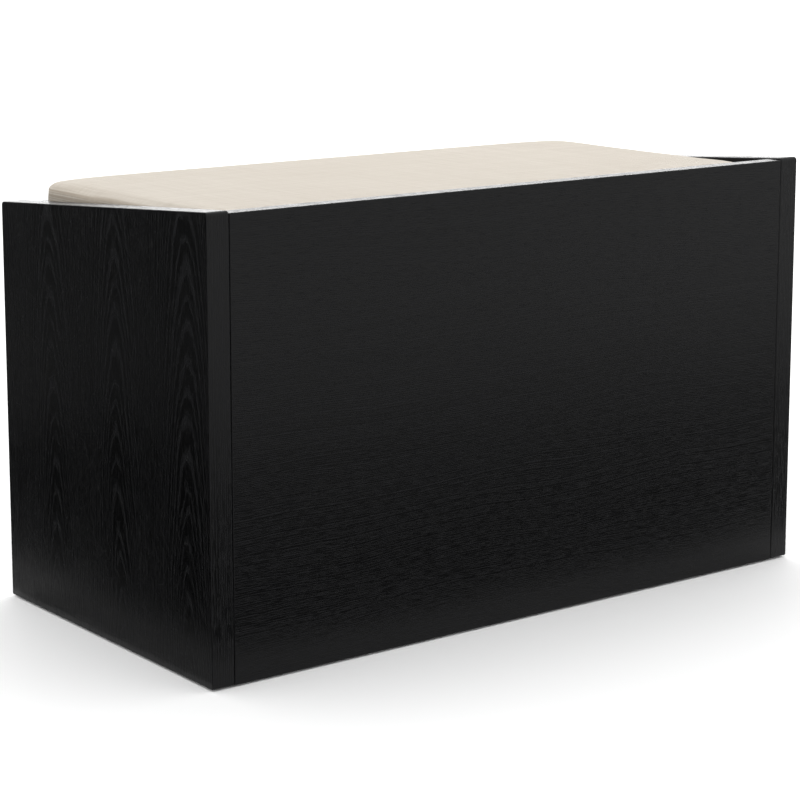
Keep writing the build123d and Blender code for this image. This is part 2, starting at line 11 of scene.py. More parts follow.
import bmesh
import bpy
import numpy as np
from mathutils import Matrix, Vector


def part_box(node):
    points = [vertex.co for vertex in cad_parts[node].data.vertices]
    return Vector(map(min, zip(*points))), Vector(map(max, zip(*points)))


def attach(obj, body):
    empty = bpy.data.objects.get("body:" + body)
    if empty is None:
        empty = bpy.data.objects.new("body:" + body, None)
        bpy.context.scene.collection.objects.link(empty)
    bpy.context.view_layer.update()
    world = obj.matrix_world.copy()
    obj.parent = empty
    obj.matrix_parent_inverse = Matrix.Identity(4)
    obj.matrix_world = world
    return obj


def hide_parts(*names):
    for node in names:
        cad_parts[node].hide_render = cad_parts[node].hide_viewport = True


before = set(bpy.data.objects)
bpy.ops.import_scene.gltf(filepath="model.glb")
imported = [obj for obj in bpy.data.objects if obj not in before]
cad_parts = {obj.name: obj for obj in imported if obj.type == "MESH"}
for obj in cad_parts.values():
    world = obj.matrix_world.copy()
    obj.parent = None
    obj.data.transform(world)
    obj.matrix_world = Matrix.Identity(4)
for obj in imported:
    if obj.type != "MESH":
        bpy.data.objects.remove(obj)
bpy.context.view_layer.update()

# %% [markdown]
# ## Measures
# Everything is in metres. Whatever the frame knows is read from it, so that a piece made here sits
# where the bench says. Only small working measures of the upholstery are given as numbers.

# %% Read the seat's place from the frame
MM = 0.001
SEAT_LOW, SEAT_HIGH = (Vector(corner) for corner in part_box("seat_cover"))
BOARD_LOW, BOARD_HIGH = (Vector(corner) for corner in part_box("lid_board"))
FOAM_LOW, FOAM_HIGH = (Vector(corner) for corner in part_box("seat_foam"))
CLOTH_LOW, CLOTH_HIGH = (Vector(corner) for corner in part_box("dust_cloth"))
STAPLES_LOW, STAPLES_HIGH = (Vector(corner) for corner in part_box("staples"))
SEAT_MID = (SEAT_LOW + SEAT_HIGH) / 2
SEAT_HALF_DEPTH = (SEAT_HIGH.y - SEAT_LOW.y) / 2
print("seat", [round(size, 4) for size in SEAT_HIGH - SEAT_LOW])

# %% [markdown]
# ## Small helpers for node trees
# A finish is a tree of nodes. It could be drawn by hand in the node editor, but a tree written out
# in code can be read, repeated and changed in one place. Short helpers keep the trees readable: one
# adds a node, one joins two sockets, and one writes a sum as a node.


# %% Add a node, feed a socket, do a sum
def add(tree, kind, **settings):
    """Add a node and set its plain properties."""
    node = tree.nodes.new(kind)
    for name, value in settings.items():
        setattr(node, name, value)
    return node


def feed(tree, socket, value):
    """Give a socket a link or a plain value."""
    if isinstance(value, bpy.types.NodeSocket):
        tree.links.new(value, socket)
    else:
        socket.default_value = value


def sum_of(tree, operation, a, b=0.0, c=0.0, clamp=False):
    """One step of arithmetic on sockets or numbers."""
    node = add(tree, "ShaderNodeMath", operation=operation, use_clamp=clamp)
    for socket, value in zip(node.inputs, (a, b, c)):
        feed(tree, socket, value)
    return node.outputs[0]


def choose(tree, which, if_zero, if_one):
    """Blend two numbers by a factor."""
    node = add(tree, "ShaderNodeMix", data_type="FLOAT")
    for name, value in (("Factor", which), ("A", if_zero), ("B", if_one)):
        feed(tree, next(s for s in node.inputs if s.name == name and s.type == "VALUE"), value)
    return node.outputs[0]


def point(tree, x, y, z=0.0):
    """Put three numbers together as a place."""
    node = add(tree, "ShaderNodeCombineXYZ")
    for socket, value in zip(node.inputs, (x, y, z)):
        feed(tree, socket, value)
    return node.outputs[0]


print("sums:", ", ".join(helper.__name__ for helper in (add, feed, sum_of, choose, point)))


# %% Places and ways a surface faces
def numbers_of(tree, vector):
    """The three numbers of a vector."""
    parts = add(tree, "ShaderNodeSeparateXYZ")
    tree.links.new(vector, parts.inputs[0])
    return parts.outputs


def place_on_piece(tree):
    """The point's place on the bench, as a vector and as its three numbers."""
    where = add(tree, "ShaderNodeTexCoord").outputs["Object"]
    return where, numbers_of(tree, where)


print("places:", place_on_piece.__doc__)


# %% Patterns and colours
def noise(tree, vector, scale, detail=2.0, roughness=0.5):
    """Smooth random values from 0 to 1."""
    node = add(tree, "ShaderNodeTexNoise")
    feed(tree, node.inputs["Vector"], vector)
    node.inputs["Scale"].default_value = scale
    node.inputs["Detail"].default_value = detail
    node.inputs["Roughness"].default_value = roughness
    return node.outputs[0]


def stretched_noise(tree, u, v, seed, pattern):
    """Noise that is longer one way. A pattern is its changes a metre along u and v, detail, roughness."""
    along_u, along_v, detail, roughness = pattern
    at = point(tree, sum_of(tree, "MULTIPLY", u, along_u), sum_of(tree, "MULTIPLY", v, along_v), seed)
    return noise(tree, at, 1.0, detail, roughness)


def chance_of(tree, number):
    """A random value from 0 to 1 that belongs to a whole number."""
    node = add(tree, "ShaderNodeTexWhiteNoise", noise_dimensions="1D")
    feed(tree, node.inputs["W"], number)
    return node.outputs["Value"]


def ramp(tree, value, low, high):
    """Turn low..high into a soft 0..1."""
    node = add(tree, "ShaderNodeMapRange", interpolation_type="SMOOTHSTEP")
    feed(tree, node.inputs["Value"], value)
    feed(tree, node.inputs["From Min"], low)
    feed(tree, node.inputs["From Max"], high)
    return node.outputs[0]


def blend_colour(tree, factor, a, b):
    """Blend two colours by a factor."""
    node = add(tree, "ShaderNodeMix", data_type="RGBA")
    colours = [s for s in node.inputs if s.type == "RGBA"]
    feed(tree, node.inputs[0], factor)
    feed(tree, colours[0], a)
    feed(tree, colours[1], b)
    return next(s for s in node.outputs if s.type == "RGBA")


print("patterns:", ", ".join(helper.__name__ for helper in (noise, stretched_noise, chance_of, ramp)))


# %% Start a finish, colour it and raise its surface
def new_finish(name):
    """An empty material with its shader joined to the output."""
    finish = bpy.data.materials.new(name)
    finish.use_nodes = True
    tree = finish.node_tree
    tree.nodes.clear()
    shader = add(tree, "ShaderNodeBsdfPrincipled")
    output = add(tree, "ShaderNodeOutputMaterial")
    tree.links.new(shader.outputs[0], output.inputs[0])
    return finish, tree, shader


def tint(tree, shader, tone, dark, light):
    """Colour the surface from dark to light by a tone from 0 to 1."""
    colour = blend_colour(tree, tone, (*dark, 1), (*light, 1))
    tree.links.new(colour, shader.inputs["Base Color"])


def relief(tree, shader, height, depth):
    """Raise and sink the surface by a height from 0 to 1, depth metres in all."""
    bump = add(tree, "ShaderNodeBump")
    bump.inputs["Strength"].default_value = 1.0
    bump.inputs["Distance"].default_value = depth
    feed(tree, bump.inputs["Height"], height)
    tree.links.new(bump.outputs[0], shader.inputs["Normal"])


print("finishes start with", new_finish.__doc__)

# %% [markdown]
# ## Black-stained ash veneer
# Ash is ring-porous: each year's ring starts with a line of coarse open pores. Stained black and
# lacquered satin, the dense wood goes nearly black, and the pores stay as fine matt lines that are a
# little lighter. A knife slices veneer flat from the log. The slice cuts the rings as nested arches,
# called cathedrals, down the middle of a leaf, and as straight lines at its sides.
#
# A picture of a board would repeat and stretch. Here the finish is built as the log is: every point
# of a leaf gets its distance from the heart of the tree, and that distance, counted in rings, is the
# pattern. A leaf cut far aside from the heart gives straight grain, which the long panels have.


# %% Where a point of a board lies, along the grain and across it
SQUARELY = 0.6  # a surface faces an axis when its normal points at least this far along it


def grain_axes(tree, face, across, along, edge_across):
    """Sockets for the place across and along the grain. Edges of the board have their own strip."""
    place = place_on_piece(tree)[1]
    facing = numbers_of(tree, add(tree, "ShaderNodeNewGeometry").outputs["True Normal"])
    axis = {"x": 0, "y": 1, "z": 2}
    turned = {
        name: sum_of(tree, "GREATER_THAN", sum_of(tree, "ABSOLUTE", facing[i]), SQUARELY)
        for name, i in axis.items()
    }
    on_edge = sum_of(tree, "SUBTRACT", 1.0, turned[face])
    u = choose(tree, on_edge, place[axis[across]], place[axis[edge_across]])
    v = place[axis[along]]
    if along == "z":  # an upright board: on its top edge the strip runs from front to back
        v = choose(tree, turned["z"], v, place[axis["y"]])
    return u, v, on_edge


print("grain axes:", grain_axes.__doc__)

# %% Two ways to slice a leaf
CATHEDRAL = {
    "leaf": 0.127,  # the leaf's width
    "start": 0.264,  # where the first leaf starts, as a share of a leaf
    "aside": 0.0,  # how far aside from the heart it is cut
    "heart": 0.02,  # how near to the heart the knife passes
    "rise": 0.075,  # how fast the cut leans away from the heart
    "unsteady": 2.2 * MM,  # how far a ring strays from its line
    "contrast": 0.36,  # how much lighter the porous lines are
    "pore_depth": 0.11 * MM,
}
STRAIGHT = {
    **CATHEDRAL,
    "leaf": 0.9,
    "aside": 0.5,
    "unsteady": 0.8 * MM,
    "contrast": 0.2,
    "pore_depth": 0.07 * MM,
}
print("cuts:", len(CATHEDRAL), "measures each")

# %% The year rings that the knife cuts
# each pattern is: changes a metre across the grain, along it, detail, roughness
TRUNK_WAVER = (10.0, 3.2, 2.0, 0.5)
RING_QUIVER = (75.0, 14.0, 3.0, 0.65)
WAVER_ON_FACE = 30 * MM
WAVER_ON_EDGE = 10 * MM
EDGE_FROM_HEART = 0.3
LOG_SHIFT = 0.16  # by up to this much, each leaf comes from higher up the log
YEARS_VARY = 3.0  # rings by which wet and dry years crowd the lines
YEARS_DRIFT = 0.35


def year_rings(tree, u, v, on_edge, seed, ring, cut):
    """1 in the porous line that starts each ring, 0 in the dense wood after it."""
    leaves = sum_of(tree, "ADD", sum_of(tree, "DIVIDE", u, cut["leaf"]), cut["start"])
    leaf_number = sum_of(tree, "FLOOR", leaves)
    chance = chance_of(tree, sum_of(tree, "ADD", leaf_number, seed * 7.0))
    from_middle = sum_of(tree, "MULTIPLY", sum_of(tree, "SUBTRACT", leaves, leaf_number), cut["leaf"])
    from_middle = sum_of(tree, "SUBTRACT", from_middle, cut["leaf"] / 2)

    waver = sum_of(tree, "SUBTRACT", stretched_noise(tree, u, v, seed, TRUNK_WAVER), 0.5)
    quiver = sum_of(tree, "SUBTRACT", stretched_noise(tree, u, v, seed, RING_QUIVER), 0.5)
    side = sum_of(tree, "MULTIPLY_ADD", waver, WAVER_ON_FACE, from_middle)
    side = sum_of(tree, "ADD", side, cut["aside"])
    up = sum_of(tree, "MULTIPLY_ADD", chance, LOG_SHIFT, v)
    depth = sum_of(tree, "MULTIPLY_ADD", up, cut["rise"], cut["heart"])
    squares = sum_of(tree, "ADD", sum_of(tree, "POWER", side, 2.0), sum_of(tree, "POWER", depth, 2.0))
    distance = sum_of(tree, "MULTIPLY_ADD", quiver, cut["unsteady"], sum_of(tree, "SQRT", squares))
    edge_distance = sum_of(tree, "ADD", u, EDGE_FROM_HEART)
    edge_distance = sum_of(tree, "MULTIPLY_ADD", waver, WAVER_ON_EDGE, edge_distance)

    rings = sum_of(tree, "DIVIDE", choose(tree, on_edge, distance, edge_distance), ring)
    years = noise(tree, point(tree, rings, 0.0, seed), YEARS_DRIFT)
    phase = sum_of(tree, "FRACT", sum_of(tree, "MULTIPLY_ADD", years, YEARS_VARY, rings))
    return sum_of(tree, "MULTIPLY", ramp(tree, phase, 0.0, 0.18), ramp(tree, phase, 0.62, 0.3))


print("rings:", year_rings.__doc__)

# %% Colour, pores and lacquer
PORES = (1700.0, 60.0, 2.0, 0.6)  # short dashes along the grain
STAIN_DRIFT = (14.0, 3.0, 2.0, 0.5)
STREAKS = (210.0, 2.5, 3.0, 0.6)
BLACK_WOOD = (0.0004, 0.0004, 0.0005, 1)
WORN_WOOD = (0.0024, 0.0025, 0.0029, 1)
PORE_TINT = (0.0068, 0.007, 0.008, 1)


def veneer(name, axes, seed, ring, cut):
    """Black ash with one ring every ring metres.

    axes names the axis that faces out, those across and along the grain, and the one across an edge.
    """
    finish, tree, shader = new_finish(name)
    u, v, on_edge = grain_axes(tree, *axes)
    porous = year_rings(tree, u, v, on_edge, seed, ring, cut)

    # the pores are thick in the porous line and thin between
    sill = choose(tree, porous, 0.58, 0.44)
    pores = stretched_noise(tree, u, v, seed, PORES)
    pores = ramp(tree, pores, sill, sum_of(tree, "ADD", sill, 0.1))

    # the stain drifts and streaks from place to place
    drift = stretched_noise(tree, u, v, seed, STAIN_DRIFT)
    streak = ramp(tree, stretched_noise(tree, u, v, seed, STREAKS), 0.35, 0.7)
    tone = sum_of(tree, "MULTIPLY_ADD", drift, 0.3, sum_of(tree, "MULTIPLY", porous, cut["contrast"]))
    tone = sum_of(tree, "MULTIPLY_ADD", streak, 0.35, tone)
    wood = blend_colour(tree, tone, BLACK_WOOD, WORN_WOOD)
    fleck = sum_of(tree, "MULTIPLY", pores, sum_of(tree, "MULTIPLY_ADD", porous, 0.7, 0.3))
    tree.links.new(blend_colour(tree, fleck, wood, PORE_TINT), shader.inputs["Base Color"])

    # the lacquer is satin on the wood and duller in the pores
    sheen = sum_of(tree, "MULTIPLY_ADD", pores, 0.2, 0.26)
    tree.links.new(sum_of(tree, "MULTIPLY_ADD", drift, 0.06, sheen), shader.inputs["Roughness"])
    tree.links.new(sum_of(tree, "MULTIPLY_ADD", pores, -0.05, 0.17), shader.inputs["Specular IOR Level"])

    height = sum_of(tree, "MULTIPLY_ADD", pores, -0.65, sum_of(tree, "MULTIPLY", porous, -0.35))
    relief(tree, shader, sum_of(tree, "ADD", height, 1.0), cut["pore_depth"])
    return finish


print("veneer:", veneer.__doc__.splitlines()[0])

# %% Veneer the boards
VENEERS = {
    "side_panel_left": veneer("veneer_left_side", "xyzx", 3.0, 2.2 * MM, CATHEDRAL),
    "side_panel_right": veneer("veneer_right_side", "xyzx", 8.0, 2.2 * MM, CATHEDRAL),
    "back_panel": veneer("veneer_back", "yzxy", 5.0, 1.7 * MM, STRAIGHT),
    "front_panel": veneer("veneer_front", "yzxy", 11.0, 1.8 * MM, STRAIGHT),
}
print("veneered:", ", ".join(VENEERS))

# %% [markdown]
# ## Finishes inside the box
# The strips that carry the bottom and the lid are plain softwood, stained black and not lacquered,
# with straight grain along each strip. The bottom is a thin board with a matt printed foil. Neither
# needs a log: noise stretched along one axis is all that straight grain and a printed grain are.


# %% Stained strips and the foil
STRIP_GRAIN = 9.0  # changes a metre along a strip
STRIP_ACROSS = 420.0
FOIL_GRAIN = (40.0, 900.0, 900.0)


def grain_by_axis(tree, changes, scale, detail, roughness):
    """Noise with its own count of changes a metre along each axis."""
    place = place_on_piece(tree)[1]
    at = point(tree, *[sum_of(tree, "MULTIPLY", place[i], count) for i, count in enumerate(changes)])
    return noise(tree, at, scale, detail, roughness)


def stained_strip(name, along, seed):
    """Matt black-stained softwood, its grain along one axis."""
    finish, tree, shader = new_finish(name)
    changes = [STRIP_GRAIN if axis == along else STRIP_ACROSS for axis in "xyz"]
    streak = grain_by_axis(tree, changes, 1.0 + seed * 0.01, 3.0, 0.6)
    tint(tree, shader, ramp(tree, streak, 0.3, 0.7), (0.012, 0.0115, 0.011), (0.04, 0.037, 0.034))
    tree.links.new(sum_of(tree, "MULTIPLY_ADD", streak, 0.2, 0.55), shader.inputs["Roughness"])
    shader.inputs["Specular IOR Level"].default_value = 0.3
    relief(tree, shader, streak, 0.15 * MM)
    return finish


def foil(name):
    """Black foil with a fine printed grain."""
    finish, tree, shader = new_finish(name)
    fine = grain_by_axis(tree, FOIL_GRAIN, 1.0, 2.0, 0.5)
    tint(tree, shader, fine, (0.02, 0.0195, 0.019), (0.045, 0.043, 0.041))
    shader.inputs["Roughness"].default_value = 0.5
    shader.inputs["Specular IOR Level"].default_value = 0.3
    relief(tree, shader, fine, 0.04 * MM)
    return finish


strip_x = stained_strip("stained_strip_long", "x", 1)
strip_y = stained_strip("stained_strip_deep", "y", 2)
bottom_foil = foil("bottom_foil")
print("inside the box:", strip_x.name, strip_y.name, bottom_foil.name)

# %% [markdown]
# ## Metal, plastic, rubber and bare wood
# Small parts need a little life too: plated steel has patches where the plating is duller, powder
# coat has a pebbled skin, and moulded plastic has a spark-etched grain. One tree makes them all,
# with a fine grain and a broad one, because they differ only in colour, gloss, depth and scale.


# %% Speckled finishes
BROADER = 30.0  # how much broader the dull patches are than the grain


def speckled(name, dark, light, roughness, depth_mm, grain, metallic=0.0):
    """A finish whose colour, gloss and skin vary by a fine random grain, grain speckles a metre."""
    finish, tree, shader = new_finish(name)
    where = add(tree, "ShaderNodeTexCoord").outputs["Object"]
    fine = noise(tree, where, grain, 2.0, 0.6)
    broad = noise(tree, where, grain / BROADER)
    tone = sum_of(tree, "MULTIPLY_ADD", fine, 0.5, sum_of(tree, "MULTIPLY", broad, 0.5))
    tint(tree, shader, ramp(tree, tone, 0.3, 0.7), dark, light)
    shine = sum_of(tree, "MULTIPLY_ADD", broad, 0.2, roughness - 0.1)
    tree.links.new(shine, shader.inputs["Roughness"])
    shader.inputs["Metallic"].default_value = metallic
    relief(tree, shader, fine, depth_mm * MM)
    return finish


zinc_plate = speckled("zinc_plate", (0.42, 0.42, 0.43), (0.6, 0.6, 0.61), 0.32, 0.01, 1500.0, 1.0)
powder_coat = speckled("powder_coat", (0.008, 0.008, 0.009), (0.016, 0.016, 0.017), 0.42, 0.05, 1600.0)
black_plastic = speckled("black_plastic", (0.008, 0.008, 0.008), (0.014, 0.014, 0.014), 0.5, 0.03, 2600.0)
bumper_rubber = speckled("bumper_rubber", (0.01, 0.01, 0.01), (0.02, 0.02, 0.02), 0.75, 0.03, 1800.0)
sleeve_nylon = speckled("sleeve_nylon", (0.62, 0.6, 0.53), (0.72, 0.7, 0.63), 0.4, 0.02, 900.0)
bare_beech = speckled("bare_beech", (0.5, 0.33, 0.19), (0.62, 0.44, 0.27), 0.6, 0.05, 500.0)
birch_ply = speckled("birch_ply", (0.52, 0.38, 0.24), (0.66, 0.5, 0.33), 0.6, 0.06, 300.0)
open_foam = speckled("open_foam", (0.66, 0.62, 0.45), (0.8, 0.76, 0.6), 0.9, 0.4, 700.0)
print("speckled finishes end with", open_foam.name)

# %% Give every frame node its finish
FINISHED_ALIKE = (
    (strip_x, ("bottom_batten_front", "bottom_batten_rear", "lid_ledge_front", "lid_ledge_rear")),
    (strip_y, ("bottom_batten_left", "bottom_batten_right", "lid_ledge_left", "lid_ledge_right")),
    (bottom_foil, ("bottom_panel",)),
    (bare_beech, ("back_dowels", "front_dowels")),
    (zinc_plate, ("cam_bolts", "cam_locks", "batten_screws", "bottom_screws", "ledge_screws")),
    (zinc_plate, ("hinge_screws_back", "hinge_screws_lid", "hinge_pin_left", "hinge_pin_right")),
    (powder_coat, ("hinge_leaf_left", "hinge_leaf_right", "hinge_arm_left", "hinge_arm_right")),
    (sleeve_nylon, ("hinge_sleeve_left", "hinge_sleeve_right")),
    (black_plastic, ("cam_caps", "floor_glides")),
    (bumper_rubber, ("lid_bumpers",)),
)
FINISHES = {**VENEERS, **{node: finish for finish, nodes in FINISHED_ALIKE for node in nodes}}
for node, finish in FINISHES.items():
    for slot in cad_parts[node].material_slots:
        slot.material = finish
print("finished", len(FINISHES), "frame nodes")

# %% [markdown]
# ## The woven cover
# The cover is a plain weave in oatmeal yarn. At arm's length it reads as one colour with a dry,
# slightly uneven tooth, and close up as single threads going over and under each other. Real threads
# in the mesh would be millions of faces, so two sets of rounded threads are made from sine waves.
# Each is raised where it passes over the other, and long thin slubs, which are thick places in a
# yarn, run along both. The weave is laid on by the way the surface faces, so that the sides of the
# seat have it too.


# %% Which way the threads run
THREAD = 0.85 * MM  # from one thread to the next
UPRIGHT = 0.7  # a surface is a side of the seat when its normal points this far sideways
THREADS_DRIFT = 24.0


def thread_axes(tree, where, place, facing):
    """The place across each set of threads, on the top and on the four sides."""
    side_x = sum_of(tree, "GREATER_THAN", sum_of(tree, "ABSOLUTE", facing[0]), UPRIGHT)
    side_y = sum_of(tree, "GREATER_THAN", sum_of(tree, "ABSOLUTE", facing[1]), UPRIGHT)
    u = choose(tree, side_x, place[0], place[2])
    v = choose(tree, side_y, place[1], place[2])
    drift = sum_of(tree, "SUBTRACT", noise(tree, where, THREADS_DRIFT), 0.5)
    u = sum_of(tree, "MULTIPLY_ADD", drift, 1.2 * MM, u)
    v = sum_of(tree, "MULTIPLY_ADD", drift, -1.0 * MM, v)
    return u, v


print("thread to thread:", THREAD / MM, "mm")


# %% Threads over and under each other
def crossing_threads(tree, u, v):
    """Height of the upper thread, from 0 between threads to 1 on a thread's back."""
    turn_u = sum_of(tree, "MULTIPLY", u, math.pi / THREAD)
    turn_v = sum_of(tree, "MULTIPLY", v, math.pi / THREAD)
    warp_thread = sum_of(tree, "ABSOLUTE", sum_of(tree, "SINE", turn_u))
    weft_thread = sum_of(tree, "ABSOLUTE", sum_of(tree, "SINE", turn_v))
    over = sum_of(tree, "MULTIPLY", sum_of(tree, "COSINE", turn_u), sum_of(tree, "COSINE", turn_v))
    return choose(tree, sum_of(tree, "MULTIPLY_ADD", over, 0.5, 0.5), warp_thread, weft_thread)


print("weave:", crossing_threads.__doc__)

# %% Slubs, at a different place in every pair of threads
SLUB_ALONG = 9.0  # changes a metre along a thread
SLUB_ACROSS = 600.0
SLUB_STARTS = 40.0  # spreads the pairs' starts over this many changes


def slubs_along(tree, along, across, seed):
    """Thick and thin places along each pair of threads."""
    luck = chance_of(tree, sum_of(tree, "FLOOR", sum_of(tree, "DIVIDE", across, 2 * THREAD)))
    start = sum_of(tree, "MULTIPLY", along, SLUB_ALONG)
    start = sum_of(tree, "MULTIPLY_ADD", luck, SLUB_STARTS, start)
    return noise(tree, point(tree, start, sum_of(tree, "MULTIPLY", across, SLUB_ACROSS), seed), 1.0)


print("slubs:", slubs_along.__doc__)

# %% The cover's finish
FUZZ = 2600.0
BLOTCH = 9.0
SIDE_STREAKS = (5.0, 430.0, 1.0, 0.5)  # streaks along the edges, which break up the painted shade on the seat's sides


def woven(name, dark, light):
    """Plain-weave cloth over the top and the four sides."""
    finish, tree, shader = new_finish(name)
    where, place = place_on_piece(tree)
    facing = numbers_of(tree, add(tree, "ShaderNodeTexCoord").outputs["Normal"])
    u, v = thread_axes(tree, where, place, facing)
    crossing = crossing_threads(tree, u, v)
    slubs = sum_of(tree, "ADD", slubs_along(tree, u, v, 1.0), slubs_along(tree, v, u, 2.0))
    fuzz = noise(tree, where, FUZZ, 2.0, 0.7)

    # painted shade: the seat's sides, which face away from the light above, are painted darker, in streaks
    # along the edges
    rows = stretched_noise(tree, sum_of(tree, "ADD", place[0], place[1]), place[2], 3.0, SIDE_STREAKS)
    facing_sideways = ramp(tree, sum_of(tree, "ABSOLUTE", facing[2]), 0.97, 0.5)
    side_shade = sum_of(tree, "MULTIPLY_ADD", ramp(tree, rows, 0.4, 0.62), 0.5, 0.16)

    tone = sum_of(tree, "MULTIPLY", crossing, 0.34)
    tone = sum_of(tree, "MULTIPLY_ADD", ramp(tree, slubs, 0.75, 1.3), 0.3, tone)
    tone = sum_of(tree, "MULTIPLY_ADD", fuzz, 0.26, tone)
    tone = sum_of(tree, "MULTIPLY_ADD", noise(tree, where, BLOTCH), 0.08, tone)
    # the sides' painted shade is taken off the tone here
    tone = sum_of(tree, "SUBTRACT", tone, sum_of(tree, "MULTIPLY", facing_sideways, side_shade), clamp=True)
    tint(tree, shader, tone, dark, light)
    shader.inputs["Roughness"].default_value = 0.92
    shader.inputs["Specular IOR Level"].default_value = 0.2
    shader.inputs["Sheen Weight"].default_value = 0.12
    shader.inputs["Sheen Roughness"].default_value = 0.5
    height = sum_of(tree, "MULTIPLY_ADD", slubs, 0.4, crossing)
    relief(tree, shader, sum_of(tree, "MULTIPLY_ADD", fuzz, 0.25, height), 0.16 * MM)
    return finish


cover_cloth = woven("oatmeal_weave", (0.36, 0.31, 0.25), (0.63, 0.588, 0.525))
print("cover:", cover_cloth.name)

# %% [markdown]
# ## The padded seat
# The real seat is a slab of foam on a board, with the cover drawn tight over both and stapled
# underneath. Foam under tension has no flat faces: the top swells a few millimetres, its edges are
# round, and the cloth shows faint drag lines beside the edges, where the stapler pulled it. A box
# with bevelled edges never looks like that, so the seat starts as a slightly small rounded block and
# is blown up by Blender's cloth, with the part that is wrapped round the board held still.

# %% A rounded block, built ring by ring
CORNER_STEPS = 8
FOOT_STEPS = 6
TOP_STEPS = 8


def outline(half_x, half_y, corner):
    """Points of a rectangle with round corners, anticlockwise."""
    points = []
    for sign_x, sign_y, start in ((1, 1, 0), (-1, 1, 90), (-1, -1, 180), (1, -1, 270)):
        for step in range(CORNER_STEPS + 1):
            angle = math.radians(start + 90 * step / CORNER_STEPS)
            x = sign_x * (half_x - corner) + corner * math.cos(angle)
            y = sign_y * (half_y - corner) + corner * math.sin(angle)
            points.append((x, y))
    return points


def new_piece(name, shape):
    """Turn a finished bmesh into an object of the scene."""
    mesh = bpy.data.meshes.new(name)
    shape.to_mesh(mesh)
    shape.free()
    piece = bpy.data.objects.new(name, mesh)
    bpy.context.scene.collection.objects.link(piece)
    return piece


def rounded_block(name, low, high, corner, top_round, foot_round):
    """A closed block with a rounded plan, its top and bottom edges rounded too."""
    rings = []
    for step in range(FOOT_STEPS + 1):
        angle = math.radians(90 * step / FOOT_STEPS)
        rings.append((foot_round * (1 - math.sin(angle)), low.z + foot_round * (1 - math.cos(angle))))
    for step in range(TOP_STEPS + 1):
        angle = math.radians(90 * step / TOP_STEPS)
        rings.append((top_round * (1 - math.cos(angle)), high.z - top_round * (1 - math.sin(angle))))
    middle = (low + high) / 2
    half = (high - low) / 2
    shape = bmesh.new()
    loops = []
    for inset, z in rings:
        plan = outline(half.x - inset, half.y - inset, max(corner - inset, 1 * MM))
        loops.append([shape.verts.new((middle.x + x, middle.y + y, z)) for x, y in plan])
    for lower, upper in zip(loops, loops[1:]):
        for i, start in enumerate(lower):
            j = (i + 1) % len(lower)
            shape.faces.new((start, lower[j], upper[j], upper[i]))
    shape.faces.new(list(reversed(loops[0])))
    shape.faces.new(loops[-1])
    return new_piece(name, shape)


print("a block has", FOOT_STEPS + TOP_STEPS + 2, "rings of", 4 * (CORNER_STEPS + 1), "points")


# %% Helpers for a mesh as rows of numbers
def apply_modifiers(piece):
    """Turn the piece as it now looks into its own plain mesh."""
    graph = bpy.context.evaluated_depsgraph_get()
    mesh = bpy.data.meshes.new_from_object(piece.evaluated_get(graph))
    piece.modifiers.clear()
    old = piece.data
    piece.data = mesh
    bpy.data.meshes.remove(old)


def points_of(mesh):
    """The mesh's points as an array of rows."""
    flat = np.empty(3 * len(mesh.vertices))
    mesh.vertices.foreach_get("co", flat)
    return flat.reshape(-1, 3)


def put_points(mesh, points):
    """Write the rows back as the mesh's points."""
    mesh.vertices.foreach_set("co", points.ravel())
    mesh.update()


def finish_smooth(piece, finish):
    """Shade a piece smooth and give it one finish."""
    piece.data.polygons.foreach_set("use_smooth", [True] * len(piece.data.polygons))
    piece.data.materials.clear()
    piece.data.materials.append(finish)


def smoothstep(low, high, value):
    """0 below low, 1 above high, and a soft step between."""
    t = np.clip((value - low) / (high - low), 0.0, 1.0)
    return t * t * (3 - 2 * t)


print("mesh helpers:", points_of.__doc__)

# %% Cut the starting shape
VOXEL = 5 * MM
START_SMALL = 0.2 * MM
SEAT_CORNER = 23 * MM
SEAT_EDGE = 6 * MM
SEAT_FOOT = 1.5 * MM
start_low = SEAT_LOW + Vector((START_SMALL, START_SMALL, 0))
start_high = SEAT_HIGH - Vector((START_SMALL, START_SMALL, START_SMALL))
seat = rounded_block("seat_cover_padded", start_low, start_high, SEAT_CORNER, SEAT_EDGE, SEAT_FOOT)
remesh = seat.modifiers.new("voxels", "REMESH")
remesh.mode = "VOXEL"
remesh.voxel_size = VOXEL
remesh.adaptivity = 0.0
apply_modifiers(seat)
start_points = points_of(seat.data)
print("seat starts with", len(start_points), "points")

# %% Blow it up as cloth
FRAMES = 20
COVER_CLOTH = {
    "use_pressure": True,
    "uniform_pressure_force": 4.0,
    "tension_stiffness": 30,
    "compression_stiffness": 20,
    "shear_stiffness": 10,
    "bending_stiffness": 2.0,
}


def cloth_swell():
    """How far each point moves when the cover is blown up, with its wrap round the board held."""
    held = seat.vertex_groups.new(name="held_on_board")
    still = np.nonzero(start_points[:, 2] < BOARD_HIGH.z + 2 * MM)[0].tolist()
    held.add(still, 1.0, "REPLACE")
    cloth = seat.modifiers.new("cover", "CLOTH")
    cloth.settings.vertex_group_mass = held.name
    for name, value in COVER_CLOTH.items():
        setattr(cloth.settings, name, value)
    cloth.settings.effector_weights.gravity = 0
    cloth.collision_settings.use_collision = False
    cloth.point_cache.frame_start = 1
    cloth.point_cache.frame_end = FRAMES
    for step in range(1, FRAMES + 1):
        bpy.context.scene.frame_set(step)
    graph = bpy.context.evaluated_depsgraph_get()
    swell = points_of(seat.evaluated_get(graph).to_mesh()) - start_points
    seat.modifiers.clear()
    seat.vertex_groups.clear()
    bpy.context.scene.frame_set(1)
    return swell


swell = cloth_swell()
print("cloth moved at most", round(float(np.linalg.norm(swell, axis=1).max()) / MM, 2), "mm")

# %% [markdown]
# ## Even the swelling
# The lid has only a few millimetres round it, and a hand-stretched cover is smoother than cloth that
# has just been blown up. So each point's move is spread over its neighbours, and then held under a
# cap, with tanh instead of a cut, which would leave a crease. The wrap round the board stays flat.

